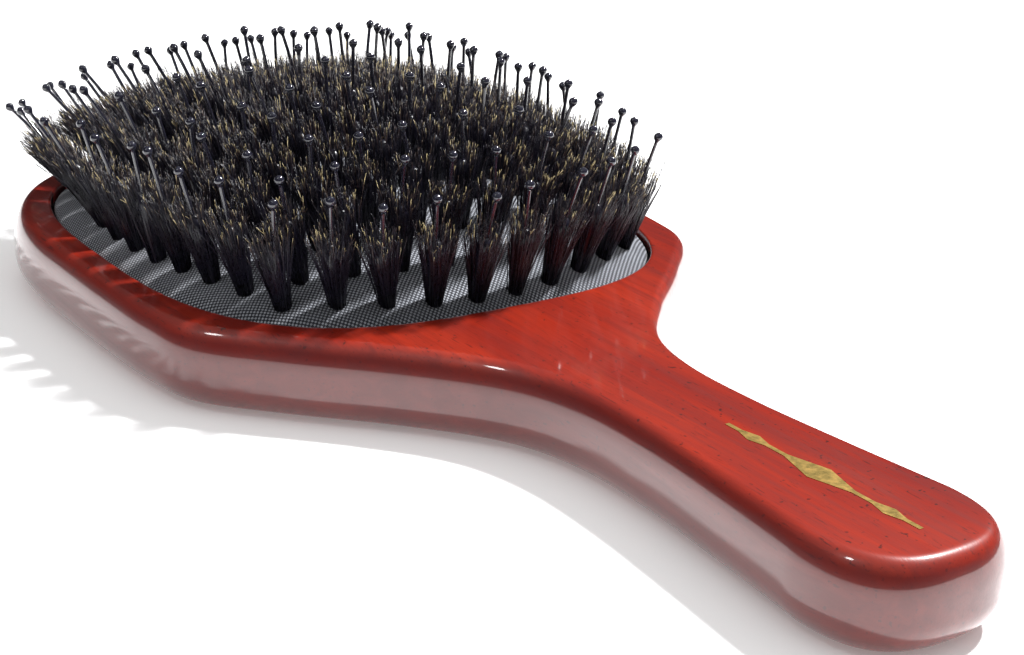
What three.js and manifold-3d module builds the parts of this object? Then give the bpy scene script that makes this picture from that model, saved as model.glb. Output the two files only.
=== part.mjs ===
// Paddle brush with an air cushion: a one-piece wooden body, a domed cushion of rubber faced with woven
// fabric, and rows of boar bristle tufts, each with a ball-tipped nylon pin up its middle.
// Millimetres, +Z up. The handle points along +X, the bristles along +Z, and the origin is the centre
// of the flat back.
import * as THREE from 'three';
import { mergeVertices } from 'three/addons/utils/BufferGeometryUtils.js';
import Module from 'manifold-3d';

const wasm = await Module();
wasm.setup();

// ---- driving dimensions ----

// wooden body
const BODY_LENGTH = 230;
const BODY_THICKNESS = 15;
// the top edge rounds over further down the side than it does inward
const TOP_EDGE_HEIGHT = 6;
const TOP_EDGE_WIDTH = 3.2;
const BACK_EDGE_RADIUS = 6.2;
const EDGE_STEPS = 3;
const HEAD_HALF_WIDTH = 57.3;
const HEAD_END_LENGTH = 55;
const HEAD_END_POWER = 2.4;
const HEAD_END_STEPS = 11;
const GRIP_HALF_WIDTH = 16;
const GRIP_END_LENGTH = 17;
const GRIP_END_POWER = 2.5;
const GRIP_END_STEPS = 7;
// x and half width where the side runs from the head's flank over the shoulder and neck to the grip
const SIDE_STATIONS = [
  [-60, HEAD_HALF_WIDTH], [-38, 57.2], [-20, 56.2], [-8, 53], [4, 42.2], [18, 27.6],
  [31, 17], [44, 12.9], [60, 12.5], [78, 13.9], [BODY_LENGTH / 2 - GRIP_END_LENGTH, GRIP_HALF_WIDTH],
];
const SIDE_STEPS = 20;

// oval opening for the cushion, a groove that holds the cushion's bead, and the air chamber below
const OVAL_X = -49;
const OVAL_HALF_LENGTH = 57;
const OVAL_HALF_WIDTH = 50.4;
const OVAL_POWER = 3;
const OVAL_STEPS = 12;
const LIP_DEPTH = 2.2;
const GROOVE_HEIGHT = 2.4;
const GROOVE_REACH = 1.6;
const CHAMBER_INSET = 1.5;
const CHAMBER_FLOOR_Z = 5.5;

// cushion: a dome that rises from its edge to its crown
const CUSHION_EDGE_Z = 14.1;
const CUSHION_RISE = 12;
const DOME_POWER = 2.3;
const FABRIC_THICKNESS = 0.6;
const RUBBER_THICKNESS = 1.2;
const BEAD_HEIGHT = 1.8;
const BEAD_WIDTH = 3.5;
const CLEARANCE = 0.3;
const SHEET_GAP = 0.5;

// tufts: ROWS rows along the handle's direction, bowed to follow the oval
const ROWS = 10;
const TUFTS_PER_ROW = 12;
const FIELD_HALF_LENGTH = 53;
const FIELD_HALF_WIDTH = 45;
const FIELD_BOW = 0.206;
// how far a tuft at the field's end and one at its side lean for each millimetre of height
const FAN_SLOPES = [0.36, 0.3];
const TUFT_SIDES = 6;
const PIN_SIDES = 4;
const TUFT_BASE_RADIUS = 1.55;
const TUFT_TIP_RADIUS = 2.3;
const TUFT_LENGTH = 16;
const PIN_RADIUS = 0.5;
const PIN_LENGTH = 22.5;
const BALL_RADIUS = 0.8;
const PIN_BORE_RADIUS = 0.85;
const HOLE_MARGIN = 0.5;

// what holds the tufts behind the cushion: a strip of bristle roots, a strip of pin roots, a wire,
// each with its underside this far below the cushion's face
const BRISTLE_STRIP_HALF_WIDTH = 0.6;
const PIN_STRIP_HALF_WIDTH = 1;
const ROOT_STRIP_HEIGHT = 0.7;
// how far the folded roots of a tuft reach below their strip
const ROOT_FOLD = 0.6;
const ROOT_GAP = 0.7;
const STRIP_OVERHANG = 1;
const WIRE_SIZE = 0.5;
const RUBBER_DROP = FABRIC_THICKNESS + CLEARANCE;
const BRISTLE_ROOT_DROP = RUBBER_DROP + RUBBER_THICKNESS + ROOT_GAP + ROOT_STRIP_HEIGHT;
const PIN_ROOT_DROP = BRISTLE_ROOT_DROP + ROOT_FOLD + ROOT_GAP + ROOT_STRIP_HEIGHT;
const WIRE_DROP = PIN_ROOT_DROP + CLEARANCE + WIRE_SIZE;
// a pin ends this far above the underside of its root strip
const EMBED = 0.05;
// how far a cutting tool reaches past what it cuts
const OVERCUT = 1;

// metal foil ornament let into the grip: a large and two small lozenges on a line
const ORNAMENT_X = 86;
const ORNAMENT_LENGTH = 40;
const ORNAMENT_LINE_WIDTH = 0.8;
// each lozenge's middle along the line, its length and its width
const LOZENGES = [[-14, 6, 2.4], [0, 14, 4.6], [14, 6, 2.4]];
const ORNAMENT_THICKNESS = 0.3;
const ORNAMENT_PROUD = 0.1;

// ---- materials ----

const lacqueredWood = { color: 0x8c2416, roughness: 0.28, metalness: 0 };
const greyFabric = { color: 0x4a4c52, roughness: 0.9, metalness: 0 };
const blackRubber = { color: 0x1a1a1c, roughness: 0.75, metalness: 0 };
const boarBristle = { color: 0x2a2320, roughness: 0.6, metalness: 0 };
const smokedNylon = { color: 0x141418, roughness: 0.15, metalness: 0 };
const steelWire = { color: 0xb8babd, roughness: 0.35, metalness: 1 };
const goldFoil = { color: 0xc9a13b, roughness: 0.3, metalness: 1 };

// ---- solids ----

const brush = new THREE.Group();

function addPiece(name, geometry, look) {
  const mesh = new THREE.Mesh(geometry, new THREE.MeshStandardMaterial(look));
  mesh.name = name;
  brush.add(mesh);
}

// A closed solid through flat rings of [x, y] points, given from the bottom up as { z, points }.
// All rings run anticlockwise and hold the same number of points.
function loft(rings) {
  const count = rings[0].points.length;
  const positions = rings.flatMap(({ z, points }) => points.flatMap(([x, y]) => [x, y, z]));
  const faces = [];
  for (let ring = 0; ring + 1 < rings.length; ring++) {
    for (let i = 0; i < count; i++) {
      const next = (i + 1) % count;
      const [a, b, c, d] = [i, next, next + count, i + count].map((n) => n + ring * count);
      faces.push(a, b, c, a, c, d);
    }
  }
  const capOf = ({ points }) => {
    const contour = points.map(([x, y]) => new THREE.Vector2(x, y));
    return THREE.ShapeUtils.triangulateShape(contour, []);
  };
  const topStart = (rings.length - 1) * count;
  for (const [a, b, c] of capOf(rings[0])) faces.push(a, c, b);
  for (const [a, b, c] of capOf(rings.at(-1))) faces.push(a + topStart, b + topStart, c + topStart);
  return shape(positions, faces);
}

function shape(positions, faces) {
  const geometry = new THREE.BufferGeometry();
  geometry.setAttribute('position', new THREE.Float32BufferAttribute(positions, 3));
  geometry.setIndex(faces);
  return geometry;
}

function toSolid(geometry) {
  const bare = geometry.clone();
  bare.deleteAttribute('normal');
  bare.deleteAttribute('uv');
  const welded = mergeVertices(bare);
  return new wasm.Manifold(new wasm.Mesh({
    numProp: 3,
    vertProperties: new Float32Array(welded.attributes.position.array),
    triVerts: new Uint32Array(welded.index.array),
  }));
}

function toGeometry(solid) {
  const { vertProperties, triVerts } = solid.getMesh();
  const geometry = new THREE.BufferGeometry();
  geometry.setAttribute('position', new THREE.BufferAttribute(vertProperties, 3));
  geometry.setIndex(new THREE.BufferAttribute(triVerts, 1));
  return geometry;
}

const join = (solids) => solids.reduce((whole, solid) => whole.add(solid));
const cut = (solid, cutters) => cutters.reduce((rest, cutter) => rest.subtract(cutter), solid);
const prism = (z0, z1, points) => loft([{ z: z0, points }, { z: z1, points }]);

// ---- outlines ----

// one quarter of a superellipse, from its point on the x axis to its point on the y axis
function superQuarter(halfLength, halfWidth, power, steps) {
  return Array.from({ length: steps + 1 }, (_, i) => {
    const angle = (i / steps) * (Math.PI / 2);
    return [halfLength * Math.cos(angle) ** (2 / power), halfWidth * Math.sin(angle) ** (2 / power)];
  });
}

function ovalRing(inset) {
  const [length, width] = [OVAL_HALF_LENGTH, OVAL_HALF_WIDTH].map((half) => half - inset);
  const quarter = superQuarter(length, width, OVAL_POWER, OVAL_STEPS);
  const half = [...quarter, ...quarter.slice(0, -1).reverse().map(([x, y]) => [-x, y])];
  const lower = half.slice(1, -1).reverse().map(([x, y]) => [x, -y]);
  return [...half, ...lower].map(([x, y]) => [x + OVAL_X, y]);
}

// the body's outline seen from above: a round grip end, the sides, and a broad head end
function bodyOutline() {
  const gripEnd = superQuarter(GRIP_END_LENGTH, GRIP_HALF_WIDTH, GRIP_END_POWER, GRIP_END_STEPS)
    .map(([x, y]) => [x + BODY_LENGTH / 2 - GRIP_END_LENGTH, y]);
  const headEnd = superQuarter(HEAD_END_LENGTH, HEAD_HALF_WIDTH, HEAD_END_POWER, HEAD_END_STEPS)
    .map(([x, y]) => [-x - BODY_LENGTH / 2 + HEAD_END_LENGTH, y]).reverse();
  const side = new THREE.SplineCurve(SIDE_STATIONS.map(([x, y]) => new THREE.Vector2(x, y)).reverse())
    .getPoints(SIDE_STEPS).map(({ x, y }) => [x, y]);
  const half = [...gripEnd, ...side.slice(1, -1), ...headEnd];
  return [...half, ...half.slice(1, -1).reverse().map(([x, y]) => [x, -y])];
}

function insetOutline(points, inset) {
  const count = points.length;
  return points.map(([x, y], i) => {
    const [before, after] = [points[(i + count - 1) % count], points[(i + 1) % count]];
    const [dx, dy] = [after[0] - before[0], after[1] - before[1]];
    const length = Math.hypot(dx, dy);
    return [x - (dy / length) * inset, y + (dx / length) * inset];
  });
}

// how far out a point lies, from 0 at the oval's middle to 1 on the oval itself
function reach(x, y, inset = 0) {
  const along = Math.abs((x - OVAL_X) / (OVAL_HALF_LENGTH - inset)) ** OVAL_POWER;
  const across = Math.abs(y / (OVAL_HALF_WIDTH - inset)) ** OVAL_POWER;
  return (along + across) ** (1 / OVAL_POWER);
}

// how high the cushion's face stands at a point
const faceZ = (x, y) => CUSHION_EDGE_Z + CUSHION_RISE * (1 - Math.min(1, reach(x, y)) ** DOME_POWER);

// ---- tufts ----

// where a row and a place along it lie, as shares of the field's half length and half width
function share(row, place) {
  const [u, v] = [(2 * place) / (TUFTS_PER_ROW - 1) - 1, (2 * row) / (ROWS - 1) - 1];
  return [u * (1 - FIELD_BOW * v * v), v * (1 - FIELD_BOW * u * u)];
}

function fieldPoint(row, place) {
  const [along, across] = share(row, place);
  return [OVAL_X + FIELD_HALF_LENGTH * along, FIELD_HALF_WIDTH * across];
}

// a tuft's foot on the cushion's face, and how far it leans for each millimetre of height
function tuft(row, place) {
  const [x, y] = fieldPoint(row, place);
  const slope = share(row, place).map((part, axis) => part * FAN_SLOPES[axis]);
  return { x, y, z: faceZ(x, y), slope, upright: 1 / Math.hypot(1, ...slope) };
}

const rowsOfTufts = Array.from({ length: ROWS }, (_, row) => {
  return Array.from({ length: TUFTS_PER_ROW }, (__, place) => tuft(row, place));
});

// the middle of a leaning tuft, this much above its foot
const centreAt = ({ x, y, slope }, rise) => [x + slope[0] * rise, y + slope[1] * rise];

// points around a leaning tuft, this much above its foot
function ringAround(foot, rise, radius, sides) {
  const [cx, cy] = centreAt(foot, rise);
  return Array.from({ length: sides }, (_, i) => {
    const angle = ((i + 0.5) * 2 * Math.PI) / sides;
    return [cx + radius * Math.cos(angle), cy + radius * Math.sin(angle)];
  });
}

// a leaning rod with flat level ends, through [rise above the foot, radius] sections
function leaningRod(foot, sides, sections) {
  return loft(sections.map(([rise, radius]) => {
    return { z: foot.z + rise, points: ringAround(foot, rise, radius, sides) };
  }));
}

// a strip under a row, following the row's bow and the cushion's dome, in lengths that hold two tufts each
function rootStrip(row, drop, halfWidth, height) {
  const lastPlace = TUFTS_PER_ROW - 1;
  const places = [0];
  for (let place = 1.5; place < lastPlace; place += 2) places.push(place);
  const stations = [...places, lastPlace].map((place) => {
    const foot = tuft(row, place);
    return [...centreAt(foot, -drop), foot.z - drop];
  });
  stations[0][0] -= STRIP_OVERHANG;
  stations.at(-1)[0] += STRIP_OVERHANG;
  // one tilt for the whole strip, taken a quarter of the way along it
  const [tiltX, tiltY] = fieldPoint(row, lastPlace / 4);
  const tilt = (faceZ(tiltX, tiltY + halfWidth) - faceZ(tiltX, tiltY - halfWidth)) / 2;
  const positions = stations.flatMap(([x, y, z]) => {
    const [near, far] = [y - halfWidth, y + halfWidth];
    const [nearZ, farZ] = [z - tilt, z + tilt];
    return [x, near, nearZ, x, far, farZ, x, far, farZ + height, x, near, nearZ + height];
  });
  const corners = positions.length / 3 / stations.length;
  const last = (stations.length - 1) * corners;
  const faces = [0, 3, 2, 0, 2, 1, last, last + 1, last + 2, last, last + 2, last + 3];
  for (let start = 0; start < last; start += corners) {
    for (let side = 0; side < corners; side++) {
      const [from, to] = [start + side, start + ((side + 1) % corners)];
      faces.push(from, to, to + corners, from, to + corners, from + corners);
    }
  }
  return shape(positions, faces);
}

for (let row = 0; row < ROWS; row++) {
  const feet = rowsOfTufts[row];
  const label = String(row + 1).padStart(2, '0');

  const bristles = feet.map((foot) => leaningRod(foot, TUFT_SIDES, [
    [-BRISTLE_ROOT_DROP - ROOT_FOLD, TUFT_BASE_RADIUS],
    [TUFT_LENGTH * foot.upright, TUFT_TIP_RADIUS],
  ]));
  const bores = feet.map((foot) => leaningRod(foot, PIN_SIDES, [
    [-BRISTLE_ROOT_DROP - ROOT_FOLD - OVERCUT, PIN_BORE_RADIUS],
    [TUFT_LENGTH * foot.upright + OVERCUT, PIN_BORE_RADIUS],
  ]));
  const bristleStrip = rootStrip(row, BRISTLE_ROOT_DROP, BRISTLE_STRIP_HALF_WIDTH, ROOT_STRIP_HEIGHT);
  const bristleRow = cut(join([bristleStrip, ...bristles].map(toSolid)), bores.map(toSolid));
  addPiece(`bristle_row_${label}`, toGeometry(bristleRow), boarBristle);

  const pins = feet.map((foot) => {
    const top = PIN_LENGTH * foot.upright;
    return leaningRod(foot, PIN_SIDES, [
      [EMBED - PIN_ROOT_DROP, PIN_RADIUS],
      [top - 2 * BALL_RADIUS, PIN_RADIUS],
      [top - BALL_RADIUS, BALL_RADIUS],
      [top, PIN_RADIUS],
    ]);
  });
  const pinStrip = rootStrip(row, PIN_ROOT_DROP, PIN_STRIP_HALF_WIDTH, ROOT_STRIP_HEIGHT);
  addPiece(`pin_row_${label}`, toGeometry(join([pinStrip, ...pins].map(toSolid))), smokedNylon);

  addPiece(`anchor_wire_${label}`, rootStrip(row, WIRE_DROP, WIRE_SIZE / 2, WIRE_SIZE), steelWire);
}

// ---- cushion ----

// the place of an outer corner of the cells in their anticlockwise order, counted from the middle of the
// side that faces the handle
function rimIndex(column, line) {
  const around = 2 * (TUFTS_PER_ROW + ROWS);
  if (column === TUFTS_PER_ROW) return (around + line - ROWS / 2) % around;
  if (line === ROWS) return ROWS / 2 + TUFTS_PER_ROW - column;
  if (column === 0) return (around + ROWS) / 2 - line;
  return around - ROWS / 2 - TUFTS_PER_ROW + column;
}

// A domed sheet with a hole for each tuft, its upper side this far below the cushion's face. It is made of
// one four-cornered cell around each tuft.
function domedSheet(inset, drop, thickness) {
  const onRim = ({ x, y }) => {
    const out = reach(x, y, inset);
    return { x: OVAL_X + (x - OVAL_X) / out, y: y / out, slope: [0, 0] };
  };
  const rimCorners = [];
  const corners = [];
  for (let line = 0; line <= ROWS; line++) {
    for (let column = 0; column <= TUFTS_PER_ROW; column++) {
      const isOuter = line % ROWS === 0 || column % TUFTS_PER_ROW === 0;
      if (isOuter) rimCorners[rimIndex(column, line)] = corners.length;
      const corner = tuft(line - 0.5, column - 0.5);
      corners.push(isOuter ? onRim(corner) : corner);
    }
  }
  const holeRadius = TUFT_BASE_RADIUS + HOLE_MARGIN;
  const layerAt = (depth) => {
    const holes = rowsOfTufts.flat().flatMap((foot) => ringAround(foot, -depth, holeRadius, TUFT_SIDES));
    const level = [...corners.map((corner) => centreAt(corner, -depth)), ...holes];
    return level.map(([x, y]) => [x, y, faceZ(x, y) - depth]);
  };
  const [under, upper] = [layerAt(drop + thickness), layerAt(drop)];
  const above = under.length;
  const faces = [];
  const wall = (from, to) => faces.push(from, to, to + above, from, to + above, from + above);
  for (let line = 0; line < ROWS; line++) {
    for (let column = 0; column < TUFTS_PER_ROW; column++) {
      const a = line * (TUFTS_PER_ROW + 1) + column;
      const cell = [a, a + 1, a + TUFTS_PER_ROW + 2, a + TUFTS_PER_ROW + 1];
      const first = corners.length + (line * TUFTS_PER_ROW + column) * TUFT_SIDES;
      const hole = Array.from({ length: TUFT_SIDES }, (_, i) => first + i).reverse();
      const [contour, opening] = [cell, hole].map((ring) => {
        return ring.map((i) => new THREE.Vector2(upper[i][0], upper[i][1]));
      });
      for (const triangle of THREE.ShapeUtils.triangulateShape(contour, [opening])) {
        const [p, q, r] = triangle.map((i) => [...cell, ...hole][i]);
        faces.push(p + above, q + above, r + above, p, r, q);
      }
      hole.forEach((from, i) => wall(from, hole[(i + 1) % TUFT_SIDES]));
    }
  }
  rimCorners.forEach((from, i) => wall(from, rimCorners[(i + 1) % rimCorners.length]));
  return shape([...under, ...upper].flat(), faces);
}

const fabric = domedSheet(SHEET_GAP, 0, FABRIC_THICKNESS);
addPiece('cushion_fabric', toGeometry(toSolid(fabric)), greyFabric);

// the rubber membrane under it, whose edge turns down into a bead in the body's groove
const grooveTop = BODY_THICKNESS - LIP_DEPTH;
const grooveBottom = grooveTop - GROOVE_HEIGHT;
const beadReach = CLEARANCE - GROOVE_REACH;
const beadBottom = grooveBottom + CLEARANCE;
const beadTop = beadBottom + BEAD_HEIGHT;
const neckTop = CUSHION_EDGE_Z - RUBBER_DROP - RUBBER_THICKNESS / 2;
const bead = toSolid(loft([
  { z: beadBottom, points: ovalRing(beadReach) },
  { z: beadTop, points: ovalRing(beadReach) },
  { z: beadTop, points: ovalRing(CLEARANCE) },
  { z: neckTop, points: ovalRing(CLEARANCE) },
]));
const bore = ovalRing(beadReach + BEAD_WIDTH);
const insideBead = toSolid(prism(beadBottom - OVERCUT, neckTop + OVERCUT, bore));
const membrane = toSolid(domedSheet(SHEET_GAP, RUBBER_DROP, RUBBER_THICKNESS));
addPiece('cushion_membrane', toGeometry(membrane.add(bead.subtract(insideBead))), blackRubber);

// ---- ornament ----

// the ornament's outline, widened on both sides by margin
function ornamentOutline(margin) {
  const line = ORNAMENT_LINE_WIDTH / 2 + margin;
  const half = [[-ORNAMENT_LENGTH / 2 - margin, line]];
  for (const [middle, length, width] of LOZENGES) {
    half.push([middle - length / 2, line], [middle, width / 2 + margin], [middle + length / 2, line]);
  }
  half.push([ORNAMENT_LENGTH / 2 + margin, line]);
  const lower = half.map(([x, y]) => [x, -y]);
  return [...lower, ...half.reverse()].map(([x, y]) => [x + ORNAMENT_X, y]);
}

const ornamentTop = BODY_THICKNESS + ORNAMENT_PROUD;
const ornamentBottom = ornamentTop - ORNAMENT_THICKNESS;
addPiece('handle_ornament', prism(ornamentBottom, ornamentTop, ornamentOutline(0)), goldFoil);

// ---- wooden body ----

function bodyBlock() {
  const outline = bodyOutline();
  const turns = Array.from({ length: EDGE_STEPS + 1 }, (_, i) => ((i / EDGE_STEPS) * Math.PI) / 2);
  const backEdge = turns.map((angle) => ({
    z: BACK_EDGE_RADIUS * (1 - Math.cos(angle)),
    points: insetOutline(outline, BACK_EDGE_RADIUS * (1 - Math.sin(angle))),
  }));
  const topEdge = turns.map((angle) => ({
    z: BODY_THICKNESS - TOP_EDGE_HEIGHT * (1 - Math.sin(angle)),
    points: insetOutline(outline, TOP_EDGE_WIDTH * (1 - Math.cos(angle))),
  }));
  return loft([...backEdge, ...topEdge]);
}

const recess = loft([
  { z: CHAMBER_FLOOR_Z, points: ovalRing(CHAMBER_INSET) },
  { z: grooveBottom, points: ovalRing(CHAMBER_INSET) },
  { z: grooveBottom, points: ovalRing(-GROOVE_REACH) },
  { z: grooveTop, points: ovalRing(-GROOVE_REACH) },
  { z: grooveTop, points: ovalRing(0) },
  { z: BODY_THICKNESS + OVERCUT, points: ovalRing(0) },
]);
const pocketBottom = ornamentBottom - CLEARANCE;
const ornamentPocket = prism(pocketBottom, BODY_THICKNESS + OVERCUT, ornamentOutline(CLEARANCE));
const body = cut(toSolid(bodyBlock()), [recess, ornamentPocket].map(toSolid));
addPiece('wood_body', toGeometry(body), lacqueredWood);

export default brush;
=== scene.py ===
import math

import bmesh
import bpy
import numpy as np
from mathutils import Matrix, Vector
from mathutils.kdtree import KDTree


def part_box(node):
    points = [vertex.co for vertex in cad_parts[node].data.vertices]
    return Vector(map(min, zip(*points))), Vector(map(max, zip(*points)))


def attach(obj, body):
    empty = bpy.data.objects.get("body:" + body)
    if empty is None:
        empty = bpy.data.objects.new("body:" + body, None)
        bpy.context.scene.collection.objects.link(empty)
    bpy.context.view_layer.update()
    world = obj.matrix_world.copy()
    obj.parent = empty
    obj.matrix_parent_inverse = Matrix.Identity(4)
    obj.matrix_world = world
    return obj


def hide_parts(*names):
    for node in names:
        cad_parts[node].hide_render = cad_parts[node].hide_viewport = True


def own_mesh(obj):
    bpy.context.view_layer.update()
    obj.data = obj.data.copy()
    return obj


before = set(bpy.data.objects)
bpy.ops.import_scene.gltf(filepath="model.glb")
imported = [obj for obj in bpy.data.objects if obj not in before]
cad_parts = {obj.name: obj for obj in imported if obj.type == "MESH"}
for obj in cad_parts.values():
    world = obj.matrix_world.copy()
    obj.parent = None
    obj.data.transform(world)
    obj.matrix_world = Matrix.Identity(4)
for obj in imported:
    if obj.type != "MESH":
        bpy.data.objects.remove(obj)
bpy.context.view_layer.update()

# Shapes are worked out in millimetres, in the frame's axes, and scaled to metres when a mesh is made.
MM = 0.001


def box_mm(node):
    low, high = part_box(node)
    return np.array(low) / MM, np.array(high) / MM


# ---- driving dimensions ----

body_low, body_high = box_mm("wood_body")
BODY_LENGTH = body_high[0] - body_low[0]
BODY_TOP = body_high[2]
HEAD_HALF_WIDTH = body_high[1]
# the top edge rounds over further down the side than it does inward
TOP_EDGE_HEIGHT, TOP_EDGE_WIDTH = 6, 3.2
BACK_EDGE_RADIUS = 6.2
RECESS_EDGE_RADIUS = 0.5
# a narrow flat band beside each rounded edge, where its shading ends
EDGE_BAND = 0.5
HEAD_END_LENGTH, HEAD_END_POWER = 55, 2.4
GRIP_HALF_WIDTH, GRIP_END_LENGTH, GRIP_END_POWER = 16, 17, 2.5
SIDE_STATIONS = [
    (-60, HEAD_HALF_WIDTH), (-38, 57.2), (-20, 56.2), (-8, 53), (4, 42.2), (18, 27.6),
    (31, 17), (44, 12.9), (60, 12.5), (78, 13.9), (BODY_LENGTH / 2 - GRIP_END_LENGTH, GRIP_HALF_WIDTH),
]

# the opening is a little wider all round than the fabric that fills it
FABRIC_INSET = 0.5
fabric_low, fabric_high = box_mm("cushion_fabric")
OVAL_X = (fabric_low[0] + fabric_high[0]) / 2
OVAL_HALF_LENGTH = (fabric_high[0] - fabric_low[0]) / 2 + FABRIC_INSET
OVAL_HALF_WIDTH = (fabric_high[1] - fabric_low[1]) / 2 + FABRIC_INSET
OVAL_POWER = 3
LIP_DEPTH, GROOVE_HEIGHT, GROOVE_REACH, CHAMBER_INSET, CHAMBER_FLOOR = 2.2, 2.4, 1.6, 1.5, 5.5

CUSHION_EDGE_Z = 14.1
CUSHION_CROWN_Z = 26.1
DOME_POWER = 2.3
FABRIC_THICKNESS, RUBBER_THICKNESS = 0.6, 1.2
# the facing's last few per cent roll down into the gap beside the wood
ROLL_SHARE, ROLL_DEPTH = 0.035, 0.9
# each tuft draws the cloth down round its foot
DIMPLE_DEPTH, DIMPLE_RADIUS = 0.35, 2.4
RUBBER_GAP, RUBBER_SHRINK = 0.15, 0.996
BEAD_HALF_HEIGHT, BEAD_REACH, BEAD_INSET, BEAD_CLEARANCE = 0.9, 1.5, 0.2, 0.3

ROWS, TUFTS_PER_ROW = 10, 12
FIELD_HALF_LENGTH, FIELD_HALF_WIDTH, FIELD_BOW = 53, 45, 0.206
TUFT_FOOT_RADIUS, TUFT_HEAD_RADIUS, TUFT_LENGTH = 1.45, 3.7, 16.5
BRISTLES_PER_TUFT, BRISTLE_RADIUS = 140, 0.085
BRISTLE_SIDES, SPLIT_SHARE, STRAY_SHARE = 3, 0.6, 0.03
# the bristles start this far below the cushion's face
FOOT_SINK = 0.6
PIN_RADIUS, PIN_LENGTH, BALL_RADIUS = 0.34, 23.3, 0.87
# the drop-shaped tip is this many ball radii long, and its widest part lies towards its end
DROP_LENGTH, DROP_SKEW = 3.4, 1.9
BRISTLE_FOLD_RADIUS, PIN_HEAD_RADIUS = 0.45, 0.4
# how far below the cushion's face the bristles fold back, the pins' heads lie and the wire runs
BRISTLE_ROOT_DROP, PIN_ROOT_DROP, WIRE_DROP, WIRE_RADIUS = 3.2, 5.2, 6.0, 0.25


# ---- mesh helpers ----

def make_piece(name, verts_mm, faces, material, sharp_degrees=None):
    """A smooth-shaded mesh object from points in millimetres. Edges sharper than sharp_degrees stay crisp."""
    mesh = bpy.data.meshes.new(name)
    mesh.from_pydata((np.asarray(verts_mm) * MM).tolist(), [], [list(f) for f in faces])
    mesh.materials.append(material)
    shade_smooth(mesh, sharp_degrees)
    piece = bpy.data.objects.new(name, mesh)
    bpy.context.scene.collection.objects.link(piece)
    return piece


def shade_smooth(mesh, sharp_degrees=None):
    mesh.polygons.foreach_set("use_smooth", [True] * len(mesh.polygons))
    if sharp_degrees is not None:
        work = bmesh.new()
        work.from_mesh(mesh)
        for edge in work.edges:
            if len(edge.link_faces) == 2 and edge.calc_face_angle() > math.radians(sharp_degrees):
                edge.smooth = False
        work.to_mesh(mesh)
        work.free()
    mesh.update()


def ring_bands(ring_count, points):
    """Quads between stacked rings of the same number of points."""
    ring, i = np.meshgrid(np.arange(ring_count - 1), np.arange(points), indexing="ij")
    a = ring * points + i
    b = ring * points + (i + 1) % points
    return np.stack([a, b, b + points, a + points], -1).reshape(-1, 4)


def put(piece, body, slot, *nodes):
    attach(piece, body)
    if nodes:
        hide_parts(*nodes)
    return piece


# ---- outlines ----

def super_quarter(half_length, half_width, power, steps):
    angle = np.linspace(0, math.pi / 2, steps + 1)
    along = half_length * np.clip(np.cos(angle), 0, 1) ** (2 / power)
    across = half_width * np.clip(np.sin(angle), 0, 1) ** (2 / power)
    return np.column_stack([along, across])


def oval_ring(inset, scale=1.0, steps=64):
    half_length, half_width = (OVAL_HALF_LENGTH - inset) * scale, (OVAL_HALF_WIDTH - inset) * scale
    quarter = super_quarter(half_length, half_width, OVAL_POWER, steps)
    half = np.vstack([quarter, quarter[-2::-1] * [-1, 1]])
    ring = np.vstack([half, half[-2:0:-1] * [1, -1]])
    return ring + [OVAL_X, 0]


def through_stations(stations, steps):
    """A smooth curve through every station."""
    points = np.array(stations, float)
    ends = np.vstack([2 * points[0] - points[1], points, 2 * points[-1] - points[-2]])
    curve = []
    for p0, p1, p2, p3 in zip(ends, ends[1:], ends[2:], ends[3:]):
        for t in np.arange(steps) / steps:
            pull = (p2 - p0) / 2 * t + (2 * p0 - 5 * p1 + 4 * p2 - p3) / 2 * t * t
            curve.append(p1 + pull + (3 * p1 - p0 - 3 * p2 + p3) / 2 * t ** 3)
    return np.array(curve + [points[-1]])


def evenly(points, count):
    """The same line with count points at even distances."""
    run = np.concatenate([[0], np.cumsum(np.linalg.norm(np.diff(points, axis=0), axis=1))])
    at = np.linspace(0, run[-1], count)
    return np.column_stack([np.interp(at, run, points[:, 0]), np.interp(at, run, points[:, 1])])


def body_outline(half_count=240):
    grip = super_quarter(GRIP_END_LENGTH, GRIP_HALF_WIDTH, GRIP_END_POWER, 120)
    grip = grip + [BODY_LENGTH / 2 - GRIP_END_LENGTH, 0]
    head = super_quarter(HEAD_END_LENGTH, HEAD_HALF_WIDTH, HEAD_END_POWER, 160)
    head = (head * [-1, 1] + [HEAD_END_LENGTH - BODY_LENGTH / 2, 0])[::-1]
    side = through_stations(SIDE_STATIONS, 16)[::-1]
    half = evenly(np.vstack([grip, side[1:-1], head]), half_count)
    return np.vstack([half, half[-2:0:-1] * [1, -1]])


def inset_outline(points, inset):
    step = np.roll(points, -1, 0) - np.roll(points, 1, 0)
    step /= np.linalg.norm(step, axis=1)[:, None]
    return points + np.column_stack([-step[:, 1], step[:, 0]]) * inset


def at_height(ring, z):
    return np.column_stack([ring, np.full(len(ring), z)])


# ---- material helpers ----

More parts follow.
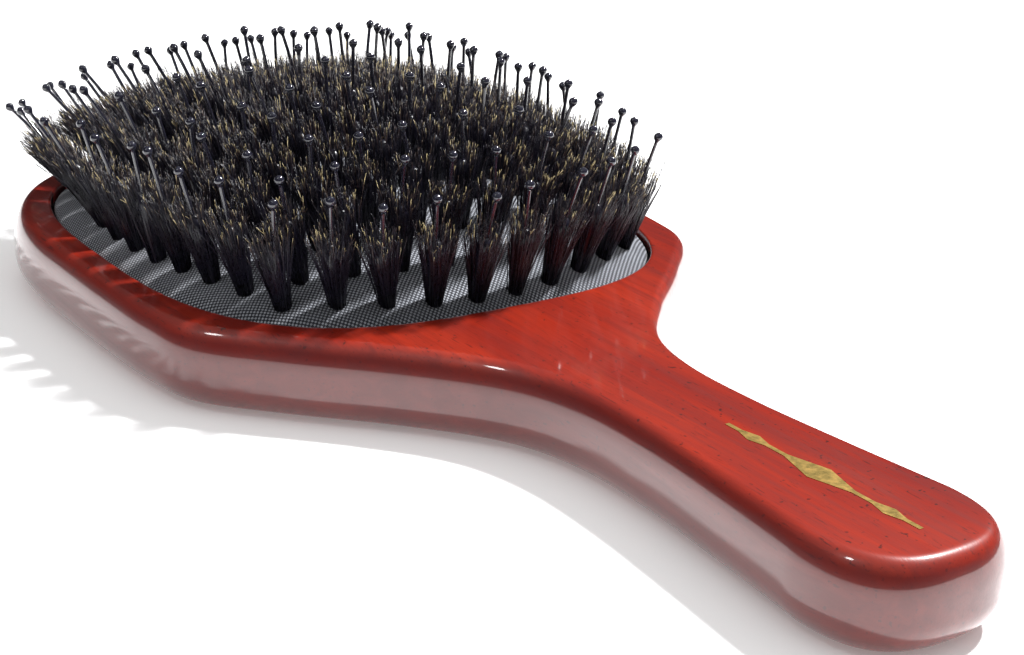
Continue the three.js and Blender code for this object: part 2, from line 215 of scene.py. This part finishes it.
class Nodes:
    """A short way to write a node material."""

    def __init__(self, name):
        self.material = bpy.data.materials.new(name)
        self.material.use_nodes = True
        self.tree = self.material.node_tree
        self.shader = self.tree.nodes["Principled BSDF"]

    def add(self, kind, **settings):
        node = self.tree.nodes.new(kind)
        for key, value in settings.items():
            setattr(node, key, value)
        return node

    def link(self, source, target):
        self.tree.links.new(source, target)

    def feed(self, socket, value):
        if hasattr(value, "is_output"):
            self.link(value, socket)
        else:
            socket.default_value = value

    def math(self, operation, a, b=0.0):
        node = self.add("ShaderNodeMath", operation=operation)
        self.feed(node.inputs[0], a)
        self.feed(node.inputs[1], b)
        return node.outputs[0]

    def place(self, scale):
        """Object coordinates in metres, scaled along each axis."""
        mapping = self.add("ShaderNodeMapping")
        mapping.inputs["Scale"].default_value = scale
        self.link(self.add("ShaderNodeTexCoord").outputs["Object"], mapping.inputs["Vector"])
        return mapping.outputs[0]

    def noise(self, vector, scale, detail=3.0, roughness=0.5, distortion=0.0):
        node = self.add("ShaderNodeTexNoise")
        self.link(vector, node.inputs["Vector"])
        node.inputs["Scale"].default_value = scale
        node.inputs["Detail"].default_value = detail
        node.inputs["Roughness"].default_value = roughness
        node.inputs["Distortion"].default_value = distortion
        return node.outputs["Fac"]

    def ramp(self, value, stops):
        """A colour ramp. A stop is a position and a colour, or a position and a grey level."""
        node = self.add("ShaderNodeValToRGB")
        elements = node.color_ramp.elements
        while len(elements) < len(stops):
            elements.new(0.5)
        for element, (position, colour) in zip(elements, stops):
            element.position = position
            element.color = (*colour, 1) if hasattr(colour, "__len__") else (colour, colour, colour, 1)
        self.link(value, node.inputs["Fac"])
        return node.outputs["Color"]

    def mix(self, share, a, b):
        node = self.add("ShaderNodeMix", data_type="RGBA")
        self.feed(node.inputs["Factor"], share)
        for socket, value in ((node.inputs["A"], a), (node.inputs["B"], b)):
            self.feed(socket, value if hasattr(value, "is_output") else (*value, 1))
        return node.outputs["Result"]

    def bump(self, height, strength, distance):
        node = self.add("ShaderNodeBump")
        node.inputs["Strength"].default_value = strength
        node.inputs["Distance"].default_value = distance
        self.link(height, node.inputs["Height"])
        return node.outputs["Normal"]

    def surface(self, **sockets):
        """Sets or links the shader's sockets, named with _ for a space, and returns the material."""
        for name, value in sockets.items():
            socket = self.shader.inputs[name.replace("_", " ")]
            if not hasattr(value, "is_output") and hasattr(value, "__len__") and len(value) == 3:
                value = (*value, 1)
            self.feed(socket, value)
        return self.material


# ---- materials ----

def lacquered_wood():
    n = Nodes("lacquered_mahogany")
    grain = n.noise(n.place((28, 420, 420)), 1.0, 5.0, 0.62, 0.6)
    bands = n.ramp(n.noise(n.place((14, 55, 55)), 1.0, 3.0, 0.55, 0.5), [(0.32, 0.0), (0.68, 1.0)])
    pores = n.noise(n.place((260, 2600, 2600)), 1.0, 2.0, 0.5)
    specks = n.noise(n.place((1100, 1100, 1100)), 1.0, 1.0, 0.4)
    tone = n.mix(bands, (0.22, 0.008, 0.003), (0.41, 0.027, 0.007))
    tone = n.mix(n.ramp(grain, [(0.35, 0.0), (0.62, 0.55)]), tone, (0.13, 0.005, 0.003))
    tone = n.mix(n.ramp(pores, [(0.63, 0.0), (0.72, 0.75)]), tone, (0.06, 0.006, 0.005))
    tone = n.mix(n.ramp(specks, [(0.71, 0.0), (0.76, 0.7)]), tone, (0.012, 0.004, 0.005))
    # the colour is darker on the edges and sides than on the flat top and back, a band set by height
    height = n.add("ShaderNodeSeparateXYZ")
    n.link(n.place((1, 1, 1 / (BODY_TOP * MM))), height.inputs[0])
    sides_darker = n.ramp(height.outputs[2], [(0.01, 0.0), (0.14, 0.75), (0.86, 0.75), (0.99, 0.0)])
    tone = n.mix(sides_darker, tone, (0.085, 0.008, 0.009))
    rough = n.ramp(grain, [(0.3, 0.32), (0.7, 0.44)])
    lacquer = n.noise(n.place((160, 160, 160)), 1.0, 2.0, 0.5)
    normal = n.bump(n.mix(0.35, lacquer, pores), 0.12, 0.0004)
    return n.surface(Base_Color=tone, Roughness=rough, Normal=normal, Coat_Weight=1.0,
                     Coat_Roughness=0.07, Coat_IOR=1.6, Specular_IOR_Level=0.45)


def gold_foil():
    n = Nodes("gold_foil")
    worn = n.noise(n.place((900, 900, 900)), 1.0, 4.0, 0.6)
    tone = n.mix(n.ramp(worn, [(0.35, 0.0), (0.7, 0.8)]), (0.86, 0.62, 0.2), (0.56, 0.33, 0.1))
    rough = n.ramp(worn, [(0.3, 0.24), (0.7, 0.46)])
    return n.surface(Base_Color=tone, Roughness=rough, Metallic=0.9)


def woven_fabric():
    n = Nodes("woven_cushion_cloth")
    weave_pitch = 0.00085
    turns = 2 * math.pi / weave_pitch
    split = n.add("ShaderNodeSeparateXYZ")
    n.link(n.place((turns, turns, 1)), split.inputs[0])
    along, across = n.math("SINE", split.outputs[0]), n.math("SINE", split.outputs[1])
    checks = n.math("MULTIPLY", along, across)
    strands = n.noise(n.place((2400, 2400, 2400)), 1.0, 2.0, 0.6)
    cloud = n.noise(n.place((70, 70, 70)), 1.0, 3.0, 0.55)
    fleck = n.math("ADD", checks, n.math("MULTIPLY", strands, 0.5))
    dots = n.ramp(fleck, [(0.28, 0.0), (0.62, 1.0)])
    tone = n.mix(dots, (0.028, 0.03, 0.038), (0.42, 0.44, 0.49))
    tone = n.mix(n.ramp(cloud, [(0.35, 0.0), (0.7, 0.35)]), tone, (0.05, 0.052, 0.065))
    normal = n.bump(n.ramp(checks, [(0.0, 0.0), (1.0, 1.0)]), 0.6, 0.00025)
    return n.surface(Base_Color=tone, Roughness=0.85, Normal=normal, Sheen_Weight=0.25,
                     Sheen_Roughness=0.5, Specular_IOR_Level=0.3)


def black_rubber():
    n = Nodes("black_rubber")
    mottle = n.noise(n.place((600, 600, 600)), 1.0, 3.0, 0.6)
    tone = n.mix(mottle, (0.012, 0.012, 0.013), (0.03, 0.03, 0.032))
    return n.surface(Base_Color=tone, Roughness=n.ramp(mottle, [(0.3, 0.6), (0.7, 0.8)]),
                     Normal=n.bump(mottle, 0.2, 0.0002))


def boar_bristle():
    n = Nodes("boar_bristle")
    along = n.add("ShaderNodeAttribute", attribute_name="along").outputs["Fac"]
    tint = n.add("ShaderNodeAttribute", attribute_name="tint").outputs["Fac"]
    shifted = n.math("ADD", along, n.math("MULTIPLY", n.math("SUBTRACT", tint, 0.93), 0.5))
    tone = n.ramp(shifted, [
        (0.0, (0.008, 0.007, 0.016)), (0.7, (0.010, 0.009, 0.017)), (0.86, (0.03, 0.019, 0.02)),
        (0.94, (0.11, 0.07, 0.05)), (1.0, (0.85, 0.7, 0.36)),
    ])
    streak = n.noise(n.place((3000, 3000, 500)), 1.0, 2.0, 0.5)
    tone = n.mix(n.ramp(streak, [(0.4, 0.0), (0.7, 0.3)]), tone, (0.015, 0.014, 0.022))
    return n.surface(Base_Color=tone, Roughness=n.ramp(streak, [(0.3, 0.24), (0.7, 0.42)]),
                     Specular_IOR_Level=0.5)


def smoked_nylon():
    n = Nodes("smoked_nylon")
    haze = n.noise(n.place((500, 500, 500)), 1.0, 2.0, 0.5)
    tone = n.mix(haze, (0.009, 0.009, 0.018), (0.026, 0.026, 0.042))
    return n.surface(Base_Color=tone, Roughness=n.ramp(haze, [(0.3, 0.07), (0.7, 0.14)]),
                     Coat_Weight=1.0, Coat_Roughness=0.03, Specular_IOR_Level=0.6)


def drawn_wire():
    n = Nodes("drawn_wire")
    scratch = n.noise(n.place((200, 4000, 4000)), 1.0, 2.0, 0.5)
    tone = n.mix(scratch, (0.5, 0.5, 0.52), (0.7, 0.7, 0.72))
    return n.surface(Base_Color=tone, Roughness=n.ramp(scratch, [(0.3, 0.25), (0.7, 0.4)]), Metallic=1.0)


# ---- wooden body ----

def quarter_turn(steps):
    return np.linspace(0, math.pi / 2, steps + 1)


def wooden_body(material):
    """The body's outside and its recess, each lofted from a profile of (inset, height), joined at the top."""
    outline = body_outline()
    edge_steps, recess_edge_steps = 14, 5
    outer = [(BACK_EDGE_RADIUS + EDGE_BAND, 0)]
    for a in quarter_turn(edge_steps):
        outer.append((BACK_EDGE_RADIUS * (1 - math.sin(a)), BACK_EDGE_RADIUS * (1 - math.cos(a))))
    for a in quarter_turn(edge_steps):
        outer.append((TOP_EDGE_WIDTH * (1 - math.cos(a)), BODY_TOP - TOP_EDGE_HEIGHT * (1 - math.sin(a))))
    outer.append((TOP_EDGE_WIDTH + EDGE_BAND, BODY_TOP))
    groove_top = BODY_TOP - LIP_DEPTH
    groove_bottom = groove_top - GROOVE_HEIGHT
    inner = [(-RECESS_EDGE_RADIUS - EDGE_BAND, BODY_TOP)]
    for a in quarter_turn(recess_edge_steps):
        inset = RECESS_EDGE_RADIUS * (math.sin(a) - 1)
        inner.append((inset, BODY_TOP - RECESS_EDGE_RADIUS * (1 - math.cos(a))))
    inner += [(0, groove_top), (-GROOVE_REACH, groove_top), (-GROOVE_REACH, groove_bottom),
              (CHAMBER_INSET, groove_bottom), (CHAMBER_INSET, CHAMBER_FLOOR)]

    work = bmesh.new()

    def loft(rings):
        loops = [[work.verts.new(p) for p in ring * MM] for ring in rings]
        count = len(loops[0])
        for low, high in zip(loops, loops[1:]):
            for i in range(count):
                j = (i + 1) % count
                work.faces.new((low[i], low[j], high[j], high[i]))
        return loops

    outside = loft([at_height(inset_outline(outline, inset), z) for inset, z in outer])
    inside = loft([at_height(oval_ring(inset), z) for inset, z in inner])
    work.faces.new(outside[0][::-1])
    work.faces.new(inside[-1])
    work.edges.ensure_lookup_table()
    rims = []
    for loop in (outside[-1], inside[0]):
        rims += [work.edges.get((a, b)) for a, b in zip(loop, loop[1:] + loop[:1])]
    bmesh.ops.triangle_fill(work, edges=rims, use_beauty=True)
    bmesh.ops.recalc_face_normals(work, faces=work.faces)
    mesh = bpy.data.meshes.new("paddle_body")
    work.to_mesh(mesh)
    work.free()
    mesh.materials.append(material)
    shade_smooth(mesh, 40)
    piece = bpy.data.objects.new("paddle_body", mesh)
    bpy.context.scene.collection.objects.link(piece)
    return put(piece, "handle", "lacquered_wood", "wood_body")


# ---- ornament ----

# each lozenge's centre along the line, its length and its width
LOZENGES = [(-14, 6, 2.4), (0, 14, 4.6), (14, 6, 2.4)]


def ornament(material):
    """A foil line with three lozenges, lying on the grip."""
    low, high = box_mm("handle_ornament")
    middle, half_length = (low[0] + high[0]) / 2, (high[0] - low[0]) / 2
    half_line, lift, foil = 0.4, 0.02, 0.06
    half = [(-half_length, half_line)]
    for centre, length, width in LOZENGES:
        half += [(centre - length / 2, half_line), (centre, width / 2), (centre + length / 2, half_line)]
    half += [(half_length, half_line)]
    upper = np.array(half)
    ring = np.vstack([upper * [1, -1], upper[::-1]]) + [middle, 0]
    count = len(ring)
    verts = np.vstack([at_height(ring, BODY_TOP + lift), at_height(ring, BODY_TOP + lift + foil)])
    faces = [tuple(range(count))[::-1], tuple(range(count, 2 * count))] + ring_bands(2, count).tolist()
    piece = make_piece("foil_ornament", verts, faces, material, 30)
    return put(piece, "handle", "gold_foil", "handle_ornament")


# ---- cushion ----

def oval_reach(x, y):
    """How far out a point lies, from 0 at the oval's middle to 1 at its edge."""
    along = np.abs((x - OVAL_X) / OVAL_HALF_LENGTH) ** OVAL_POWER
    across = np.abs(y / OVAL_HALF_WIDTH) ** OVAL_POWER
    return (along + across) ** (1 / OVAL_POWER)


def disc(inset, rings=30, steps=40):
    """Points and faces of a flat oval sheet, ring inside ring, with its middle closed."""
    innermost = 0.06
    scales = np.linspace(1, innermost, rings)
    points = np.vstack([oval_ring(inset, s, steps) for s in scales])
    count = 4 * steps
    faces = ring_bands(rings, count).tolist()
    return points, faces + [tuple(range((rings - 1) * count, rings * count))], count


def sheet_surfaces(top, bottom, faces, edge_count):
    """A closed thin solid from a sheet's upper and lower points."""
    shift = len(top)
    closed = [tuple(f) for f in faces] + [tuple(i + shift for i in f[::-1]) for f in faces]
    for i in range(edge_count):
        j = (i + 1) % edge_count
        closed.append((j, i, i + shift, j + shift))
    return np.vstack([top, bottom]), closed


def settle_feet(feet, points, height):
    """Gives each tuft's foot the height of the sheet there, from the four nearest points of the sheet."""
    tree = KDTree(len(points))
    for i, (x, y) in enumerate(points):
        tree.insert((x, y, 0), i)
    tree.balance()
    too_close = 0.01
    for foot in feet:
        around = tree.find_n((foot["x"], foot["y"], 0), 4)
        nearest = [found[1] for found in around]
        closeness = np.array([1 / (found[2] + too_close) for found in around])
        foot["z"] = height[nearest] @ closeness / closeness.sum()


def press_down(piece):
    """Gives the sheet its own copy of its mesh."""
    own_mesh(piece)


def cushion(fabric_material, rubber_material, feet):
    points, faces, edge_count = disc(FABRIC_INSET)
    reach = oval_reach(points[:, 0], points[:, 1])
    height = CUSHION_EDGE_Z + (CUSHION_CROWN_Z - CUSHION_EDGE_Z) * (1 - reach ** DOME_POWER)
    roll = np.clip((reach - (1 - ROLL_SHARE)) / ROLL_SHARE, 0, 1)
    height = height - ROLL_DEPTH * roll ** 2
    settle_feet(feet, points, height)
    for foot in feet:
        gap = np.hypot(points[:, 0] - foot["x"], points[:, 1] - foot["y"])
        height = height - DIMPLE_DEPTH * np.exp(-(gap / DIMPLE_RADIUS) ** 2)
    top = np.column_stack([points, height])
    verts, closed = sheet_surfaces(top, top - [0, 0, FABRIC_THICKNESS], faces, edge_count)
    facing = make_piece("cushion_facing", verts, closed, fabric_material, 60)
    refine = facing.modifiers.new("finer", "SUBSURF")
    refine.levels = refine.render_levels = 1
    bake_modifiers(facing)
    put(facing, "cushion", "grey_fabric", "cushion_fabric")
    press_down(facing)

    rubber_top = top - [0, 0, FABRIC_THICKNESS + RUBBER_GAP]
    rubber_top[:, :2] = (points - [OVAL_X, 0]) * RUBBER_SHRINK + [OVAL_X, 0]
    verts, closed = sheet_surfaces(rubber_top, rubber_top - [0, 0, RUBBER_THICKNESS], faces, edge_count)
    membrane = make_piece("cushion_rubber", verts, closed, rubber_material, 60)
    put(membrane, "cushion", "black_rubber", "cushion_membrane")
    press_down(membrane)


def bead(material):
    """The membrane's thick edge, held in the body's groove."""
    bottom = BODY_TOP - LIP_DEPTH - GROOVE_HEIGHT + BEAD_CLEARANCE
    steps = 12
    rings = []
    for a in np.arange(steps) * 2 * math.pi / steps:
        ring = oval_ring(BEAD_INSET - BEAD_REACH * math.cos(a))
        rings.append(at_height(ring, bottom + BEAD_HALF_HEIGHT * (1 + math.sin(a))))
    count = len(rings[0])
    verts = np.vstack(rings)
    faces = ring_bands(steps, count).tolist()
    last = (steps - 1) * count
    faces += [(last + i, last + (i + 1) % count, (i + 1) % count, i) for i in range(count)]
    return put(make_piece("cushion_bead", verts, faces, material), "handle", "black_rubber")


def bake_modifiers(piece):
    """Applies the piece's modifiers to its mesh."""
    ready = piece.evaluated_get(bpy.context.evaluated_depsgraph_get())
    mesh = bpy.data.meshes.new_from_object(ready)
    piece.modifiers.clear()
    piece.data = mesh


# ---- tufts ----

# a lean's parts: the same everywhere, growing outward, growing with the cube, and towards one head corner
LEAN_ALONG = (0.03, 0.28, 0.07, -1.7)
LEAN_ACROSS = (-0.14, 0.4, -0.26, -0.5)
LEAN_SPREAD = 0.03


def fan(along, across):
    """How far a tuft leans along and across for each millimetre of height, from its place in the field."""
    corner = max(0, -along) * max(0, -across)
    lean = []
    for place, parts in ((along, LEAN_ALONG), (across, LEAN_ACROSS)):
        lean.append(parts[0] + parts[1] * place + parts[2] * place ** 3 + parts[3] * corner)
    return np.array(lean)


def tuft_feet():
    """Each tuft's place on the cushion and its lean. The cushion settles the heights."""
    chance = np.random.default_rng(7)
    feet = []
    for row in range(ROWS):
        for place in range(TUFTS_PER_ROW):
            u, v = 2 * place / (TUFTS_PER_ROW - 1) - 1, 2 * row / (ROWS - 1) - 1
            along, across = u * (1 - FIELD_BOW * v * v), v * (1 - FIELD_BOW * u * u)
            feet.append({
                "row": row, "x": OVAL_X + FIELD_HALF_LENGTH * along, "y": FIELD_HALF_WIDTH * across,
                "z": BODY_TOP, "slope": fan(along, across) + chance.normal(0, LEAN_SPREAD, 2),
            })
    return feet


def rods(paths, radii, sides, along, tint):
    """Round rods along paths of shape (rods, rings, 3). radii, along and tint have shape (rods, rings)."""
    count, rings = radii.shape
    run = paths[:, -1] - paths[:, 0]
    run /= np.linalg.norm(run, axis=1)[:, None]
    side = np.cross(run, [0.0, 1.0, 0.0])
    side /= np.linalg.norm(side, axis=1)[:, None]
    other = np.cross(run, side)
    angle = np.arange(sides) * 2 * math.pi / sides
    spoke = (side[:, None] * np.cos(angle)[None, :, None] + other[:, None] * np.sin(angle)[None, :, None])
    verts = paths[:, :, None] + spoke[:, None] * radii[:, :, None, None]
    bands = ring_bands(rings, sides)[:, ::-1]
    caps = [np.arange(sides), np.arange(sides)[::-1] + (rings - 1) * sides]
    faces = []
    for rod in range(count):
        start = rod * rings * sides
        faces += (bands + start).tolist()
        faces += [(cap + start).tolist() for cap in caps]
    spread = np.repeat(np.stack([along, tint], -1)[:, :, None], sides, 2)
    return verts.reshape(-1, 3), faces, spread.reshape(-1, 2)


def joined(parts):
    """The vertices, faces and marks of several shapes as one."""
    verts, faces, marks, start = [], [], [], 0
    for part_verts, part_faces, part_marks in parts:
        verts.append(part_verts)
        faces += [[i + start for i in face] for face in part_faces]
        marks.append(part_marks)
        start += len(part_verts)
    return np.vstack(verts), faces, np.vstack(marks)


def marked_piece(name, parts, material):
    """A piece whose material can read how far along its rod a point lies, and the rod's own tint."""
    verts, faces, marks = joined(parts)
    piece = make_piece(name, verts, faces, material)
    for column, label in enumerate(("along", "tint")):
        attribute = piece.data.attributes.new(label, "FLOAT", "POINT")
        attribute.data.foreach_set("value", marks[:, column].astype(np.float32))
    return piece


def lean_axis(foot):
    axis = np.array([*foot["slope"], 1.0])
    return axis / np.linalg.norm(axis)


def split_tips(paths, tint, axis, chance):
    """A short fine fork beside the end of some of the bristles."""
    split = np.flatnonzero(chance.uniform(0, 1, len(paths)) < SPLIT_SHARE)
    start, tip = paths[split, -2], paths[split, -1]
    side_spread, shortest, longest = 0.35, 0.1, 0.9
    ends = tip + chance.normal(0, side_spread, (len(split), 3))
    ends = ends + axis * chance.uniform(shortest, longest, (len(split), 1))
    fork_paths = np.stack([(start + tip) / 2, ends], 1)
    thick, thin = 0.07, 0.03
    radii = np.repeat(np.array([[thick, thin]]), len(split), 0)
    # the fork takes its colour from the last part of a bristle
    marks = np.repeat(np.array([[0.92, 1.0]]), len(split), 0)
    return rods(fork_paths, radii, BRISTLE_SIDES, marks, np.repeat(tint[split][:, None], 2, 1))


def tuft_core(base, axis):
    """The dark middle of a tuft, from the fold under the membrane to just below the bristles' tips."""
    at = np.array([FOOT_SINK - BRISTLE_ROOT_DROP, FOOT_SINK, 5, 9, 12, 14])
    radii = np.array([[1.25, 1.3, 1.45, 1.7, 1.6, 0.6]])
    dark = np.zeros((1, len(at)))
    return rods((base + at[:, None] * axis)[None], radii, 14, dark, dark)


def bristles_of(foot, chance):
    """One tuft: bristles that flare outward, split tips on some of them, and a dense dark core."""
    count = BRISTLES_PER_TUFT
    base = np.array([foot["x"], foot["y"], foot["z"] - FOOT_SINK])
    axis = lean_axis(foot)
    across = np.cross(axis, [0.0, 1.0, 0.0])
    across /= np.linalg.norm(across)
    other = np.cross(axis, across)

    # a power below 1 crowds the bristles towards the tuft's outside
    crowding, lean_spread, length_spread, outer_loss = 0.4, 0.035, 0.05, 0.1
    angle = chance.uniform(0, 2 * math.pi, count)
    reach = chance.uniform(0, 1, count) ** crowding
    lean = chance.normal(0, lean_spread, (count, 2))
    length = TUFT_LENGTH * (1 + chance.normal(0, length_spread, count) - outer_loss * reach ** 3)
    stray = chance.uniform(0, 1, count) > 1 - STRAY_SHARE
    length[stray] *= chance.uniform(1.05, 1.2, stray.sum())
    lean[stray] *= 3

    # the share of its length at each ring of a bristle, and how thick it is there
    share = np.array([0, 0.3, 0.6, 0.85, 1.0])
    taper = np.array([1, 1, 0.95, 0.8, 0.35])
    flare_power, sway_power = 1.2, 2
    out = TUFT_FOOT_RADIUS + (TUFT_HEAD_RADIUS - TUFT_FOOT_RADIUS) * share ** flare_power
    radial = reach[:, None] * out[None]
    sway = lean[:, :, None] * (share ** sway_power)[None, None] * length[:, None, None]
    offset = (radial * np.cos(angle)[:, None] + sway[:, 0])[..., None] * across
    offset = offset + (radial * np.sin(angle)[:, None] + sway[:, 1])[..., None] * other
    paths = base + offset + (length[:, None] * share[None])[..., None] * axis
    thick = BRISTLE_RADIUS * chance.uniform(0.8, 1.25, count)
    radii = thick[:, None] * taper[None]
    tint = chance.uniform(0, 1, count)
    marks = np.repeat(share[None], count, 0)
    bristles = rods(paths, radii, BRISTLE_SIDES, marks, np.repeat(tint[:, None], len(share), 1))
    return [bristles, split_tips(paths, tint, axis, chance), tuft_core(base, axis)]


def centre_line(feet, drop):
    """The middle of a row at a depth below the cushion's face, as one path."""
    return np.array([[[f["x"], f["y"], f["z"]] - np.array([*f["slope"], 1]) * drop for f in feet]])


def plain_rod(path, radius, sides):
    """A rod of one radius along a path that runs sideways."""
    zero = np.zeros(path.shape[:2])
    return upright_rods(path, np.full(path.shape[:2], radius), sides, zero)


def upright_rods(path, radii, sides, marks):
    """rods() for a path that runs sideways, whose rings stand across X."""
    rings = radii.shape[1]
    angle = np.arange(sides) * 2 * math.pi / sides
    spoke = np.column_stack([np.zeros(sides), np.cos(angle), np.sin(angle)])
    verts = path[:, :, None] + spoke[None, None] * radii[:, :, None, None]
    faces = ring_bands(rings, sides).tolist()
    faces += [np.arange(sides)[::-1].tolist(), (np.arange(sides) + (rings - 1) * sides).tolist()]
    spread = np.repeat(np.stack([marks, marks], -1)[:, :, None], sides, 2)
    return verts.reshape(-1, 3), faces, spread.reshape(-1, 2)


def pins_of(foot, chance):
    """One nylon filament with a drop-shaped tip, a little bent."""
    axis = lean_axis(foot)
    bend_spread, length_spread = 0.05, 0.35
    bend = chance.normal(0, bend_spread, 3) * [1, 1, 0]
    length = PIN_LENGTH + chance.normal(0, length_spread)
    shaft = np.array([-PIN_ROOT_DROP, 0.0, 0.2 * length, 0.4 * length, 0.6 * length, 0.78 * length])
    # how far through the tip each of its rings lies, ending just short of the closing point
    turn = np.linspace(0, 0.97, 12)
    tip = length - BALL_RADIUS * DROP_LENGTH * (1 - turn)
    drop = np.sin(math.pi * turn ** DROP_SKEW) * BALL_RADIUS
    near_shaft = turn < 0.8
    drop = np.maximum(drop, PIN_RADIUS * near_shaft)
    along = np.concatenate([shaft, tip])
    smallest = 0.05
    radii = np.maximum(np.concatenate([np.full(len(shaft), PIN_RADIUS), drop]), smallest)
    share = np.clip(along / length, 0, 1)
    base = np.array([foot["x"], foot["y"], foot["z"]])
    path = base + along[:, None] * axis + (share ** 2 * length)[:, None] * bend
    marks = share[None]
    return rods(path[None], radii[None], 12, marks, marks)


def tuft_rows(feet, bristle_material, nylon_material, wire_material):
    for row in range(ROWS):
        label = f"{row + 1:02d}"
        body = f"tuft_row_{label}"
        members = [foot for foot in feet if foot["row"] == row]
        chance = np.random.default_rng(100 + row)
        parts = [plain_rod(centre_line(members, BRISTLE_ROOT_DROP), BRISTLE_FOLD_RADIUS, 8)]
        for foot in members:
            parts += bristles_of(foot, chance)
        tufts = marked_piece(f"bristle_tufts_{label}", parts, bristle_material)
        put(tufts, body, "boar_bristle", f"bristle_row_{label}")

        pins = [plain_rod(centre_line(members, PIN_ROOT_DROP), PIN_HEAD_RADIUS, 8)]
        pins += [pins_of(foot, chance) for foot in members]
        nylon = marked_piece(f"nylon_pins_{label}", pins, nylon_material)
        put(nylon, body, "smoked_nylon", f"pin_row_{label}")

        line = plain_rod(centre_line(members, WIRE_DROP), WIRE_RADIUS, 10)
        wire = marked_piece(f"drawn_wire_{label}", [line], wire_material)
        put(wire, body, "steel_wire", f"anchor_wire_{label}")


# ---- studio ----

VIEW_AZIMUTH, VIEW_ELEVATION, VIEW_ROLL = math.radians(55.5), math.radians(19.69), math.radians(2.27)
VIEW_TARGET = Vector((0.0047, 0, BODY_TOP * MM))
VIEW_DISTANCE = 0.3376
SKY_STRENGTH, SKY_REFLECTED = 0.9, 0.16


def view_axes():
    """Unit vectors from the object to the viewer, to the viewer's right, and up in the viewer's frame."""
    back = Vector((math.sin(VIEW_AZIMUTH) * math.cos(VIEW_ELEVATION),
                   -math.cos(VIEW_AZIMUTH) * math.cos(VIEW_ELEVATION), math.sin(VIEW_ELEVATION)))
    right = Vector((math.cos(VIEW_AZIMUTH), math.sin(VIEW_AZIMUTH), 0))
    return back, right, back.cross(right)


def camera():
    back, right, up = view_axes()
    data = bpy.data.cameras.new("camera")
    data.lens, data.sensor_width = 68.57, 36
    data.shift_x, data.shift_y = 0.0134, -0.0267
    data.clip_start, data.clip_end = 0.01, 20
    viewer = bpy.data.objects.new("camera", data)
    bpy.context.scene.collection.objects.link(viewer)
    viewer.location = VIEW_TARGET + back * VIEW_DISTANCE
    tilt_right = right * math.cos(VIEW_ROLL) + up * math.sin(VIEW_ROLL)
    tilt_up = up * math.cos(VIEW_ROLL) - right * math.sin(VIEW_ROLL)
    viewer.rotation_mode = "QUATERNION"
    viewer.rotation_quaternion = Matrix((tilt_right, tilt_up, back)).transposed().to_quaternion()
    bpy.context.scene.camera = viewer


def soft_box(name, direction, distance, size, power):
    """A round soft light that faces the object from a direction."""
    data = bpy.data.lights.new(name, "AREA")
    data.shape, data.size, data.energy = "DISK", size, power
    lamp = bpy.data.objects.new(name, data)
    bpy.context.scene.collection.objects.link(lamp)
    aim = Vector(direction).normalized()
    lamp.location = VIEW_TARGET + aim * distance
    lamp.rotation_mode = "QUATERNION"
    lamp.rotation_quaternion = aim.to_track_quat("Z", "Y")


def sky():
    """A room that is dim near the horizon and bright overhead."""
    world = bpy.data.worlds.new("studio")
    world.use_nodes = True
    tree = world.node_tree
    direction = tree.nodes.new("ShaderNodeTexCoord")
    split = tree.nodes.new("ShaderNodeSeparateXYZ")
    ramp = tree.nodes.new("ShaderNodeValToRGB")
    tree.links.new(direction.outputs["Generated"], split.inputs[0])
    tree.links.new(split.outputs[2], ramp.inputs["Fac"])
    dim, bright = ramp.color_ramp.elements
    dim.position, dim.color = 0.3, (0.1, 0.1, 0.1, 1)
    bright.position, bright.color = 0.85, (1, 1, 1, 1)
    # a reflection shows the room dimmer than the room lights a surface, so the lacquer keeps its colour
    strength = tree.nodes.new("ShaderNodeMapRange")
    tree.links.new(tree.nodes.new("ShaderNodeLightPath").outputs["Is Glossy Ray"], strength.inputs["Value"])
    strength.inputs["To Min"].default_value = SKY_STRENGTH
    strength.inputs["To Max"].default_value = SKY_REFLECTED
    background = tree.nodes["Background"]
    tree.links.new(ramp.outputs["Color"], background.inputs["Color"])
    tree.links.new(strength.outputs["Result"], background.inputs["Strength"])
    return world


def studio():
    scene = bpy.context.scene
    scene.view_settings.view_transform = "Standard"
    scene.world = sky()
    back, right = view_axes()[:2]
    away = Vector((-back.x, -back.y, 0)).normalized()
    above_right = right * 0.75 + away * 0.4 + Vector((0, 0, 1.25))
    above_left = -right * 0.9 - away * 0.6 + Vector((0, 0, 1.3))
    soft_box("key", above_right, distance=0.9, size=0.08, power=16)
    soft_box("fill", above_left, distance=1.1, size=0.14, power=0.9)

    # the floor lies a hair below the brush and gives off a little light of its own, which keeps it pale
    reach, below = 3000, 0.2
    n = Nodes("studio_floor")
    pale = n.surface(Base_Color=(0.93, 0.93, 0.93), Roughness=0.7,
                     Emission_Color=(1, 1, 1), Emission_Strength=0.2)
    corners = [(x * reach, y * reach, -below) for x, y in ((-1, -1), (1, -1), (1, 1), (-1, 1))]
    make_piece("studio_floor", corners, [(0, 1, 2, 3)], pale)


camera()
studio()
wood = lacquered_wood()
rubber = black_rubber()
wooden_body(wood)
ornament(gold_foil())
feet = tuft_feet()
cushion(woven_fabric(), rubber, feet)
bead(rubber)
tuft_rows(feet, boar_bristle(), smoked_nylon(), drawn_wire())
